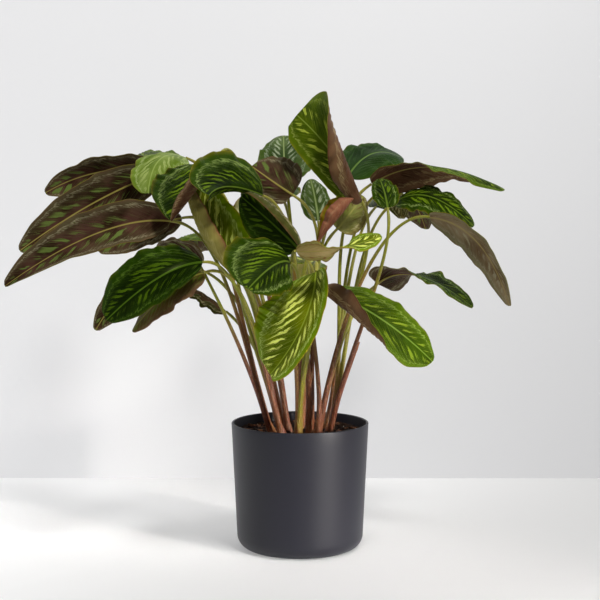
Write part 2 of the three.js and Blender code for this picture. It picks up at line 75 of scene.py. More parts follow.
# Loose bits on the soil: what they are, how many, the sizes from and to, and the stretch
PEAT, BARK, PERLITE = range(3)
BITS = (
    (BARK, 150, (1.0, 3.2), (2.0, 1.1, 0.5)),
    (PEAT, 420, (0.7, 2.0), (1.1, 1.0, 0.9)),
    (PERLITE, 9, (0.6, 1.5), (1.1, 1.0, 0.9)),
)
BITS_SEED = 41
BITS_MARGIN = 5
BIT_UNEVENNESS = (0.75, 1.15)
BIT_TILT = 0.5
BIT_RISE = 0.15
BIT_TURN = 6.3

# Shoots
FOOT_DEPTH = 20
FOOT_RISE = 16
FOOT_RADIUS = 6
FOOT_TOP_RADIUS = 2.2
FOOT_LEVELS = 10
FOOT_SIDES = 20
FOOT_MARGIN = 0.5
ROOT_RISE = 2
ROOT_DEPTH = 8
STALK_RADII = (3.6, 1.7)
STALK_SIDES = 12
STALK_STEPS = 44
STALK_GAP = 0.6
STALK_FLAT = 0.75
STALK_END = 5
STALK_ARCH = 0.24
STALK_RISE = 0.42
STALK_TAPER = 0.7
KNEE_SWELL = 0.35
KNEE_PLACE = 0.95
KNEE_LENGTH = 0.04
SHEATH_SWELL = 0.9
SHEATH_END = 0.22

# Leaves
BLADE_THICKNESS = 0.6
BLADE_ROWS = 92
HALF_COLUMNS = 20
COLUMN_POWER = 1.5
NECK_HALF_WIDTH = 1.9
OUTLINE_SHAPE = (0.82, 0.5)
TIP_START = 0.85
TIP_NARROWING = 0.2
SECTION_STEPS = 16
CURL_POWER = 1.3
RIB_RISE = 1.1
RIB_DIP = 0.2
RIB_HALF_WIDTH = 1.5
RIB_TAPER = 0.65
WAVE_HEIGHT = 2.6
WAVES = 3.2
WAVE_SHIFT = 2.4
WAVE_OFFSET = 2.1
RIPPLE_HEIGHT = 2.0
RIPPLE_HALF_WIDTH = 50
RIPPLES = 6.3
SMALL_RIPPLES = 10.7
QUILT_HEIGHT = 0.65
QUILT_PERIOD = 9
QUILT_START = (0.05, 0.4)
QUILT_END = (0.75, 1)
VEIN_SLOPE = 1.5
VEIN_BEND = 0.004

# Stage, lights and camera, in metres, watts and degrees
STAGE_REACH = 6.0
WALL_Y = 0.436
WORLD_LIGHT = 0.16
LIGHTS = {
    "key": dict(
        place=(0.75, -1.5, 2.5), aim=(0, 0, 0.3), size=(0.5, 0.5), power=56,
        colour=(1.0, 0.985, 0.96),
    ),
    "strip": dict(
        place=(1.55, -1.4, 0.36), aim=(0, 0, 0.02), size=(0.24, 0.44), power=0.8,
        colour=(1.0, 0.95, 0.89), spread=15,
    ),
    "fill": dict(
        place=(-1.9, -1.4, 1.2), aim=(0, 0, 0.3), size=(1.0, 1.0), power=5,
        colour=(0.9, 0.94, 1.0),
    ),
}
CAMERA_PLACE = (0, -1.845, 0.475)
CAMERA_DROP = 4.6
CAMERA_LENS = 85.02
SENSOR_WIDTH = 36
CAMERA_RANGE = (0.05, 30)

# Where each shoot stands on the soil, and the way it leans
SHOOTS = {
    "far_left": dict(foot=(-36, -12), lean=(-0.3, -0.08)),
    "front_left": dict(foot=(-22, -30), lean=(-0.24, -0.1)),
    "centre_left": dict(foot=(-14, -6), lean=(-0.12, -0.04)),
    "front": dict(foot=(-2, -30), lean=(0, -0.14)),
    "centre": dict(foot=(12, -9), lean=(0.06, -0.02)),
    "centre_back": dict(foot=(2, 14), lean=(0, 0.02)),
    "front_right": dict(foot=(22, -29), lean=(0.14, -0.1)),
    "far_right": dict(foot=(37, -9), lean=(0.22, -0.02)),
    "back_left": dict(foot=(-21, 20), lean=(-0.2, 0.16)),
    "back": dict(foot=(-1, 35), lean=(0.04, 0.22)),
    "back_right": dict(foot=(35, 28), lean=(0.18, 0.16)),
}
# A stalk cut short on its shoot. It stays as brown all along as the others are near the soil
CUT_STALK = dict(shoot="far_right", top=(76, -22, 274))
CUT_RIPENESS = 0.15

# What a leaf has unless its row says otherwise
USUAL_FORM = dict(top="dark", under="plum", left=(0, -20), right=(0, -20))


def row(name, shoot, slot, neck, middle, tip, **form):
    """A leaf of a shoot, with three points of its midrib from the neck to the tip."""
    own = dict(name=name, shoot=shoot, slot="leaf_" + slot, neck=neck, middle=middle, tip=tip)
    return {**USUAL_FORM, **own, **form}


# Each leaf's form: the looks of its top and under face; the way its top faces; the widths of its
# left and right halves, with the fold and curl of each in degrees. Where given, twist turns the
# face from neck to tip, ease lessens fold and curl toward the tip, shape is how early the outline
# is widest and how blunt its ends are, and stalk holds its stalk's radii. arch and arrive say how
# far and along which way the stalk comes in to the neck
LEAVES = [
    row("long_left", "far_left", "purple", (-165, -50, 431), (-253, -84, 416), (-366, -90, 351),
        face=(0.1, 0.9, 0.45), width=(34, 29), left=(6, -14), right=(-34, -30), ease=-0.8),
    row("left_flap", "centre_left", "purple", (-152, -20, 434), (-198, -12, 421), (-262, -8, 392),
        face=(0.1, 0.9, 0.45), width=(22, 24), right=(-30, -30), shape=(1.1, 0.42)),
    row("mid_left", "far_left", "purple", (-190, 26, 490), (-272, 0, 451), (-360, -25, 392),
        face=(0.2, 0.85, 0.5), width=(34, 36), left=(6, -18), right=(-30, -30)),
    row("high_left", "back_left", "purple", (-180, 58, 496), (-264, 42, 494), (-336, 30, 466),
        face=(0.1, 0.75, 0.65), width=(26, 30), left=(6, -16), right=(-35, -30)),
    row("far_left", "back_left", "mid", (-165, 95, 504), (-228, 150, 514), (-280, 210, 495),
        top="mid", face=(-0.15, -0.35, 0.95), width=(34, 34), left=(8, -25), right=(8, -25)),
    row("young_left", "centre_left", "young", (-150, 27, 512), (-180, -14, 509), (-192, -48, 466),
        top="fresh", under="tan", face=(-0.2, -0.6, 0.75), width=(38, 40), left=(-5, -30),
        right=(-5, -20), shape=(0.9, 0.4)),
    row("round_left", "centre_left", "dark", (-104, -45, 510), (-125, -74, 476), (-158, -98, 432),
        under="rose", face=(-0.2, -0.95, 0.2), width=(30, 66), left=(60, 220), right=(-8, -24),
        shape=(1.3, 0.5)),
    row("young_roll", "front_left", "young", (-80, -46, 368), (-112, -52, 420), (-142, -36, 480),
        top="young", under="tan", face=(0.25, -0.95, 0.1), width=(54, 42), left=(10, 190),
        right=(5, 40), stalk=(3.4, 4.6)),
    row("centre_left", "centre_back", "dark", (-47, -62, 463), (-86, -112, 474), (-108, -150, 464),
        face=(-0.1, -0.95, 0.3), width=(26, 52), left=(-85, -40), right=(6, -22), shape=(0.95, 0.5)),
    row("under_top", "centre_back", "purple", (-10, -30, 464), (-34, -24, 480), (-62, -14, 500),
        face=(0, 0.9, -0.35), width=(40, 24), left=(0, 15), right=(0, 15), shape=(0.8, 0.36)),
    row("silver_top", "centre_back", "mid", (-18, 4, 482), (-21, 40, 512), (-22, 84, 543),
        top="silver", face=(-0.05, -0.5, 0.85), width=(36, 38), left=(6, -18), right=(6, -18),
        stalk=(4.6, 1.7), arch=0.12),
    row("tall_top", "front_right", "mid", (78, -30, 457), (39, -48, 518), (-4, -28, 565),
        top="bright", under="rose", face=(-0.2, -0.95, 0.15), width=(34, 58), left=(-4, -14),
        right=(60, 300), ease=1, shape=(1.35, 0.16)),
    row("upper_right", "back", "dark", (62, 15, 486), (97, 50, 518), (140, 85, 512), top="shade",
        face=(0, -0.6, 0.8), width=(38, 38), right=(5, -25)),
    row("right_twist", "far_right", "purple", (94, 10, 478), (171, -5, 500), (262, -25, 470),
        top="mid", under="rose", face=(0, 0.15, 0.98), width=(34, 32), left=(-40, -25),
        right=(-5, -20), twist=80, ease=0.5),
    row("small_right", "far_right", "dark", (110, -62, 448), (107, -46, 467), (102, -22, 484),
        face=(0, -0.6, 0.8), width=(17, 18), left=(10, -15), right=(10, -15)),
    row("right_droop", "far_right", "dark", (124, -8, 455), (167, -36, 461), (220, -48, 424),
        face=(0.1, -0.6, 0.8), width=(30, 28), right=(-5, -25)),
    row("right_hidden", "back_right", "purple", (100, 60, 462), (128, 95, 470), (142, 125, 430),
        under="mottled", face=(0.2, 0.5, 0.85), width=(28, 26), left=(-20, -30), right=(-20, -30)),
    row("right_low", "front_right", "purple", (164, -60, 436), (220, -88, 406), (262, -82, 326),
        under="dusk", face=(0.45, 0.85, 0.25), width=(22, 24), right=(-35, -20)),
    row("right_fold", "front_right", "purple", (100, -20, 349), (150, -42, 361), (218, -62, 322),
        face=(0, 0.3, 0.95), width=(44, 28), left=(30, 0), right=(-5, -20), twist=90, ease=0.6,
        shape=(0.48, 0.55)),
    row("front_right", "front_right", "dark", (34, -72, 344), (100, -112, 312), (162, -124, 261),
        top="mid", under="rose", face=(0.15, -0.85, 0.5), width=(34, 64), left=(-5, -25),
        right=(5, 230), ease=0.95),
    row("young_front", "front", "young", (20, -112, 370), (4, -150, 310), (-36, -138, 247),
        top="young", under="tan", face=(-0.2, -0.95, 0.15), width=(34, 64), left=(40, 10),
        right=(-5, -22), shape=(1.2, 0.24), stalk=(4.8, 2.2)),
    row("front_left", "front", "dark", (-12, -119, 382), (-31, -159, 381), (-60, -205, 356),
        face=(-0.15, -0.92, 0.35), width=(36, 64), left=(-20, -30), right=(8, -30),
        shape=(0.95, 0.42)),
    row("front_edge", "front", "mid", (-4, -142, 397), (46, -160, 401), (97, -150, 416), top="young",
        under="sheath", face=(0, -0.15, 0.98), width=(24, 24), left=(-20, -20), right=(20, 10),
        twist=90, ease=0.8, arrive=(0.2, -1, 0.15), shape=(0.95, 0.6)),
    row("dark_hang", "front", "dark", (-2, -96, 398), (-38, -88, 432), (-74, -66, 462), top="deep",
        under="mottled", face=(0, -1, 0.05), width=(34, 44), left=(-5, -30), right=(10, 170),
        ease=0.2),
    row("pale_small", "front_left", "young", (-80, -16, 402), (-76, -13, 430), (-72, -8, 462),
        top="pale", under="pale", face=(0.2, -0.95, 0), width=(18, 18), left=(0, 40), right=(0, 40)),
    row("rolled_new", "centre", "purple", (21, -60, 402), (44, -58, 432), (67, -53, 459),
        top="copper", under="blush", face=(-0.3, -0.95, 0.15), width=(22, 32), left=(0, 20),
        right=(50, 170), shape=(1.5, 0.8), stalk=(5, 2.8)),
    row("grey_back", "centre_back", "mid", (24, 12, 430), (20, 26, 458), (14, 50, 484), top="silver",
        face=(0, -0.9, 0.45), width=(20, 20)),
    row("mottled", "centre", "purple", (48, -20, 420), (62, -12, 436), (82, -2, 462), under="flecked",
        face=(0.1, 0.9, 0), width=(24, 24)),
    row("low_left", "front_left", "dark", (-121, -90, 381), (-172, -122, 364), (-236, -125, 312),
        top="deep", face=(-0.1, -0.88, 0.5), width=(30, 46), left=(-40, -30), right=(6, -20),
        shape=(1.25, 0.36)),
    row("low_left_back", "far_left", "purple", (-128, -36, 374), (-150, -20, 392), (-186, 10, 392),
        face=(0, 0.8, 0.6), width=(24, 24)),
    row("low_left_under", "front_left", "mid", (-122, -62, 366), (-166, -72, 342), (-212, -62, 292),
        top="rust", under="rose", face=(0.1, -0.5, 0.85), width=(24, 26), left=(-10, -20),
        right=(-10, -20)),
    row("low_left_far", "back_left", "purple", (-143, 10, 366), (-216, 30, 347), (-272, 30, 284),
        face=(-0.2, 0.8, 0.5), width=(28, 28), left=(0, -25), right=(0, -25)),
    row("dry_curl", "back_left", "purple", (-98, 20, 310), (-128, 36, 330), (-156, 50, 341),
        top="rose", under="mottled", face=(0, 0.6, 0.8), width=(17, 17), left=(0, -90),
        right=(0, -90)),
    row("back_low_left", "back_left", "mid", (-105, 120, 400), (-150, 180, 405), (-190, 240, 350),
        top="mid", face=(-0.3, 0.4, 0.85), width=(42, 40), left=(-5, -25), right=(-5, -25)),
    row("back_high", "back", "dark", (-25, 100, 462), (-45, 170, 480), (-60, 250, 440),
        face=(-0.1, 0.3, 0.95), width=(42, 44), left=(-5, -25), right=(-5, -25)),
    row("back_mid", "back", "young", (10, 110, 368), (0, 190, 368), (-10, 255, 310), top="young",
        under="tan", face=(0.1, 0.4, 0.85), width=(42, 40), left=(-5, -25), right=(-5, -25)),
    row("back_right_high", "back_right", "dark", (105, 120, 446), (150, 185, 462), (185, 240, 412),
        face=(0.3, 0.3, 0.9), width=(38, 40), left=(-5, -25), right=(-5, -25)),
    row("back_right_low", "back_right", "mid", (76, 130, 316), (102, 200, 312), (124, 260, 256),
        top="mid", face=(0.2, 0.4, 0.85), width=(38, 36), left=(-5, -25), right=(-5, -25)),
]


# ------------------------------------ shapes

def unit(vectors):
    """Vectors scaled to a length of one, along the last axis."""
    return vectors / np.linalg.norm(vectors, axis=-1, keepdims=True)


def smoothstep(value, low, high):
    t = np.clip((value - low) / (high - low), 0, 1)
    return t * t * (3 - 2 * t)


def midrib(leaf, u):
    """Points and directions of a leaf's midrib at u, from 0 at the neck to 1 at the tip."""
    neck, middle, tip = (np.array(leaf[k], float) for k in ("neck", "middle", "tip"))
    bend = 2 * middle - (neck + tip) / 2
    u = np.asarray(u, float)[:, None]
    points = (1 - u) ** 2 * neck + 2 * u * (1 - u) * bend + u ** 2 * tip
    along = unit(2 * (1 - u) * (bend - neck) + 2 * u * (tip - bend))
    return points, along


def half_outline(leaf, u):
    """Half the width of a blade at u, as a share of the greatest."""
    early, blunt = leaf.get("shape", OUTLINE_SHAPE)
    oval = np.sin(np.pi * u ** early)
    return np.maximum(oval, 0) ** blunt * (1 - TIP_NARROWING * smoothstep(u, TIP_START, 1))


def edge_waves(leaf, u, half):
    """How high one half's edge rises at u: in long waves, and in ripples that start farther out."""
    swell = np.sin(np.pi * u)
    phase = leaf["phase"] + (0 if half else WAVE_OFFSET)
    wave = np.sin(2 * np.pi * WAVES * u + phase) * WAVE_HEIGHT * swell
    ripple = np.sin(2 * np.pi * RIPPLES * u + 1.7 * phase)
    ripple = ripple + 0.5 * np.sin(2 * np.pi * SMALL_RIPPLES * u + phase)
    height = RIPPLE_HEIGHT * leaf["width"][half] / RIPPLE_HALF_WIDTH
    return wave, height * ripple * swell


def blade_surface(leaf, u, v):
    """The middle surface of a blade: a point for each u and v, with v from -1 to 1 across it."""
    centre, along = midrib(leaf, u)
    face = np.array(leaf["face"], float)
    up = unit(face - (along @ face)[:, None] * along)
    turn = np.radians(leaf.get("twist", 0) * (u - 0.5))[:, None]
    up = up * np.cos(turn) + np.cross(along, up) * np.sin(turn)
    side = np.cross(along, up)
    share = 1 - leaf.get("ease", 0) * u
    points = np.empty((len(u), len(v), 3))
    for half, chosen in enumerate((v < 0, v >= 0)):
        fold, curl = leaf["right" if half else "left"]
        reach = NECK_HALF_WIDTH + (leaf["width"][half] - NECK_HALF_WIDTH) * half_outline(leaf, u)
        size = np.abs(v[chosen])
        w = size[:, None] * (np.arange(SECTION_STEPS) + 0.5) / SECTION_STEPS
        angle = np.radians(share[:, None, None] * (fold + curl * w ** CURL_POWER))
        step = reach[:, None] * size / SECTION_STEPS
        out = np.cos(angle).sum(axis=2) * step * (1 if half else -1)
        rise = np.sin(angle).sum(axis=2) * step
        wave, ripple = edge_waves(leaf, u, half)
        rise += wave[:, None] * size ** 2
        rise += ripple[:, None] * size ** 3
        points[:, chosen] = (
            centre[:, None] + side[:, None] * out[..., None] + up[:, None] * rise[..., None]
        )
    return points


def sheet_faces(rows, columns):
    """Faces of a top grid, of an under grid that follows it, and of the rim between them."""
    index = np.arange(rows * columns).reshape(rows, columns)
    a, b, c, d = index[:-1, :-1], index[:-1, 1:], index[1:, 1:], index[1:, :-1]
    tops = np.stack([a, b, c, d], axis=-1).reshape(-1, 4)
    unders = tops[:, ::-1] + rows * columns
    rim = np.concatenate([index[0, :-1], index[:-1, -1], index[-1, :0:-1], index[:0:-1, 0]])
    after = np.roll(rim, -1)
    rims = np.stack([rim, rim + rows * columns, after + rows * columns, after], axis=-1)
    faces = np.concatenate([tops, unders, rims])
    kinds = np.concatenate([np.zeros(len(tops)), np.ones(len(unders)), np.zeros(len(rims))])
    return faces, kinds


def blade_mesh(leaf):
    """A thin closed blade: a top and an under surface with a raised midrib below."""
    u = np.linspace(0, 1, BLADE_ROWS + 1)
    t = np.linspace(-1, 1, 2 * HALF_COLUMNS + 1)
    v = np.sign(t) * np.abs(t) ** COLUMN_POWER
    middle = blade_surface(leaf, u, v)
    normal = unit(np.cross(np.gradient(middle, axis=1), np.gradient(middle, axis=0)))

    width = np.where(v[None] < 0, leaf["width"][0], leaf["width"][1])
    reach = width * half_outline(leaf, u)[:, None] + NECK_HALF_WIDTH
    away = reach * v[None]
    distance = np.abs(away)
    lengths = np.linalg.norm(np.diff(midrib(leaf, u)[0], axis=0), axis=1)
    run = np.concatenate([[0], np.cumsum(lengths)])[:, None]
    vein = run - VEIN_SLOPE * distance - VEIN_BEND * distance ** 2

    share = np.abs(v)[None]
    quilt = np.sin(2 * np.pi * vein / QUILT_PERIOD + leaf["phase"])
    quilt *= smoothstep(share, *QUILT_START)
    quilt *= QUILT_HEIGHT * np.sin(np.pi * u)[:, None] * (1 - smoothstep(share, *QUILT_END))
    middle = middle + normal * quilt[..., None]
    rib = np.exp(-(away / RIB_HALF_WIDTH) ** 2) * (1 - RIB_TAPER * u[:, None])
    half = BLADE_THICKNESS / 2
    top = middle + normal * (half - RIB_DIP * rib)[..., None]
    under = middle - normal * (half + RIB_RISE * rib)[..., None]
    points = np.concatenate([top.reshape(-1, 3), under.reshape(-1, 3)])
    faces, kinds = sheet_faces(len(u), len(v))

    blade = np.stack([u[:, None] + 0 * away, v[None] + 0 * away, vein], axis=-1)
    flat = np.stack([run + 0 * away, away, leaf["phase"] * 10 + 0 * away], axis=-1)
    fields = {"blade": blade.reshape(-1, 3), "flat": flat.reshape(-1, 3)}
    return points, faces, kinds, {k: np.concatenate([f, f]) for k, f in fields.items()}


def bezier(a, b, c, d, t):
    t = np.asarray(t)[:, None]
    return (1 - t) ** 3 * a + 3 * (1 - t) ** 2 * t * b + 3 * (1 - t) * t ** 2 * c + t ** 3 * d


def ring_faces(count, sides):
    """Faces between rings of vertices that follow one another."""
    ring = np.arange((count - 1) * sides).reshape(-1, sides)
    after = np.roll(ring, -1, axis=1)
    return np.stack([ring, after, after + sides, ring + sides], axis=-1).reshape(-1, 4).tolist()


def tube_mesh(path, radii, sides):
    """A closed tube along a list of points."""
    side = np.array([1.0, 0, 0])
    rings = []
    for i, centre in enumerate(path):
        along = unit(path[min(i + 1, len(path) - 1)] - path[max(i - 1, 0)])
        side = unit(side - along * (side @ along))
        other = np.cross(along, side)
        angle = 2 * np.pi * np.arange(sides) / sides
        rings.append(
            centre + radii[i] * (np.cos(angle)[:, None] * side + np.sin(angle)[:, None] * other)
        )
    last = (len(path) - 1) * sides
    caps = [list(range(sides))[::-1], list(range(last, last + sides))]
    return np.concatenate(rings), ring_faces(len(path), sides) + caps


def foot_line(shoot):
    """Where a shoot's foot leaves the soil, and the way it points."""
    ground = np.array([*shoot["foot"], SOIL_HEIGHT], float)
    return ground, unit(np.array([*shoot["lean"], 1.0]))


def stalk_path(shoot, towards, end, arrive, arch, radii):
    """A stalk from inside its shoot's foot to its end, met along the way given."""
    ground, way = foot_line(shoot)
    away = np.array([towards[0] - shoot["foot"][0], towards[1] - shoot["foot"][1], 0.0])
    spread = unit(away) * (FOOT_RADIUS - radii[0] - FOOT_MARGIN)
    root = ground + ROOT_RISE * way + spread
    last = end - STALK_END * arrive
    span = np.linalg.norm(last - root)
    t = np.linspace(0, 1, STALK_STEPS + 1)
    rod = bezier(root, root + way * span * STALK_RISE, last - arrive * arch * span, last, t)
    path = np.concatenate([[ground - ROOT_DEPTH * way + spread], rod, [end]])
    return path, np.concatenate([[0], t, [1]]), radii


def leaf_stalk(leaf):
    shoot = SHOOTS[leaf["shoot"]]
    points, along = midrib(leaf, [0.0])
    bent = "arrive" in leaf
    radii = leaf.get("stalk", STALK_RADII)
    end = points[0] - along[0] * (STALK_GAP + (STALK_FLAT * radii[1] if bent else 0))
    arrive = unit(np.array(leaf["arrive"], float)) if bent else along[0]
    return stalk_path(shoot, leaf["neck"], end, arrive, leaf.get("arch", STALK_ARCH), radii)


def cut_stalk():
    shoot = SHOOTS[CUT_STALK["shoot"]]
    end = np.array(CUT_STALK["top"], float)
    arrive = unit(end - foot_line(shoot)[0])
    return stalk_path(shoot, CUT_STALK["top"], end, arrive, STALK_ARCH, STALK_RADII)


def lathe(profile, sides):
    """A profile of radius and height, from the axis to the axis, turned round."""
    profile = np.array(profile, float)
    angle = 2 * np.pi * np.arange(sides) / sides
    circle = np.stack([np.cos(angle), np.sin(angle)], axis=-1)
    inner = profile[1:-1]
    rings = [np.concatenate([r * circle, np.full((sides, 1), z)], axis=1) for r, z in inner]
    poles = [[0, 0, profile[0][1]], [0, 0, profile[-1][1]]]
    faces = ring_faces(len(inner), sides)
    pole = len(inner) * sides
    top = pole - sides
    for k in range(sides):
        n = (k + 1) % sides
        faces += [[pole, n, k], [pole + 1, top + k, top + n]]
    return np.concatenate([*rings, poles]), faces


class Heap:
    """Meshes gathered into one piece, with vertex fields."""

    def __init__(self):
        self.points, self.faces, self.kinds, self.fields = [], [], [], {}
        self.count = 0

    def add(self, points, faces, kinds=None, fields=None):
        points = np.asarray(points, float)
        self.points.append(points)
        self.faces += [[int(k) + self.count for k in face] for face in faces]
        self.kinds += [0] * len(faces) if kinds is None else [int(k) for k in kinds]
        for name, values in (fields or {}).items():
            self.fields.setdefault(name, []).append(np.asarray(values, float))
        self.count += len(points)


def put(name, data):
    """A new object in the scene."""
    made = bpy.data.objects.new(name, data)
    bpy.context.scene.collection.objects.link(made)
    return made


def make_piece(name, heap, materials, nodes, crease=50):
    """A mesh object in the row's frame that stands for its CAD nodes."""
    points = np.concatenate(heap.points) * MM
    mesh = bpy.data.meshes.new(name)
    mesh.from_pydata(points.tolist(), [], heap.faces)
    for material in materials:
        mesh.materials.append(material)
    mesh.polygons.foreach_set("material_index", heap.kinds)
    for field, values in heap.fields.items():
        attribute = mesh.attributes.new(field, "FLOAT_VECTOR", "POINT")
        attribute.data.foreach_set("vector", np.concatenate(values).astype(np.float32).ravel())
    mesh.polygons.foreach_set("use_smooth", [True] * len(mesh.polygons))
    mesh.set_sharp_from_angle(angle=math.radians(crease))
    mesh.update()
    piece = put(name, mesh)
    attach(piece, "root")
    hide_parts(*nodes)


# ------------------------------------ materials

def math_method(operation, swapped=False):
    """A method that makes one math node of a value and another number."""
    def method(value, other):
        pair = (other, value) if swapped else (value, other)
        return value.paint.math(operation, *pair)
    return method


class Value:
    """What a node gives out. Numbers among these take + - * / and abs like any other."""

    def __init__(self, paint, socket):
        self.paint, self.socket = paint, socket

    __add__, __radd__ = math_method("ADD"), math_method("ADD", swapped=True)
    __sub__, __rsub__ = math_method("SUBTRACT"), math_method("SUBTRACT", swapped=True)
    __mul__, __truediv__ = math_method("MULTIPLY"), math_method("DIVIDE")

    def __abs__(self):
        return self.paint.math("ABSOLUTE", self)


def linear(level):
    """A colour's level as it looks on screen, 0 to 255, as the light value that nodes take."""
    level /= 255
    return level / 12.92 if level <= 0.04045 else ((level + 0.055) / 1.055) ** 2.4


class Paint:
    """A material's node tree, with short calls for the nodes used here.

    Colours are given as they look on screen, with red, green and blue from 0 to 255.
    """

    def __init__(self, name):
        self.material = bpy.data.materials.new(name)
        self.material.use_nodes = True
        self.tree = self.material.node_tree
        self.tree.nodes.clear()
        self.shader = self.node("BsdfPrincipled")
        self.output = self.node("OutputMaterial")
        self.tree.links.new(self.shader.outputs[0], self.output.inputs[0])

    def node(self, kind, **settings):
        made = self.tree.nodes.new("ShaderNode" + kind)
        for key, value in settings.items():
            setattr(made, key, value)
        return made

    def feed(self, socket, value):
        if isinstance(value, Value):
            self.tree.links.new(value.socket, socket)
        elif isinstance(value, tuple):
            socket.default_value = (*map(linear, value), 1)
        else:
            socket.default_value = value

    def fed(self, made, inputs, values, output=0):
        """A node's output once its inputs, by name or number, have their values."""
        for key, value in zip(inputs, values):
            self.feed(made.inputs[key], value)
        return Value(self, made.outputs[output])

    def math(self, operation, *values):
        return self.fed(self.node("Math", operation=operation), (0, 1), values)

    def smooth(self, value, low, high):
        """0 below low, 1 above high, with a soft step between."""
        made = self.node("MapRange", interpolation_type="SMOOTHSTEP")
        return self.fed(made, ("Value", "From Min", "From Max"), (value, low, high), "Result")

    def band(self, value, middle, half, soft):
        """1 within half of middle, falling to 0 over soft."""
        return 1.0 - self.smooth(abs(value - middle), half, half + soft)

    def mix(self, factor, a, b):
        """A colour between a and b."""
        return self.fed(self.node("Mix", data_type="RGBA"), (0, 6, 7), (factor, a, b), 2)

    def blend(self, factor, a, b):
        """A number between a and b."""
        return self.fed(self.node("Mix", data_type="FLOAT"), (0, 2, 3), (factor, a, b))

    def vector(self, x, y, z):
        return self.fed(self.node("CombineXYZ"), (0, 1, 2), (x, y, z))

    def split(self, vector):
        made = self.node("SeparateXYZ")
        self.feed(made.inputs[0], vector)
        return [Value(self, output) for output in made.outputs]

    def noise(self, vector, scale, detail, roughness=0.5):
        inputs = ("Vector", "Scale", "Detail", "Roughness")
        return self.fed(self.node("TexNoise"), inputs, (vector, scale, detail, roughness))

    def chance(self, x, y, z):
        """A fixed random number from 0 to 1 for each x, y and z."""
        made = self.node("TexWhiteNoise", noise_dimensions="3D")
        return self.fed(made, ["Vector"], [self.vector(x, y, z)])

    def field(self, name):
        return Value(self, self.node("Attribute", attribute_name=name).outputs["Vector"])

    def place(self):
        return Value(self, self.node("TexCoord").outputs["Object"])

    def bump(self, height, distance, strength):
        made = self.node("Bump")
        inputs = ("Strength", "Distance", "Height")
        self.feed(self.shader.inputs["Normal"], self.fed(made, inputs, (strength, distance, height)))

    def surface(self, colour, roughness, specular):
        inputs = ("Base Color", "Roughness", "Specular IOR Level")
        self.fed(self.shader, inputs, (colour, roughness, specular))


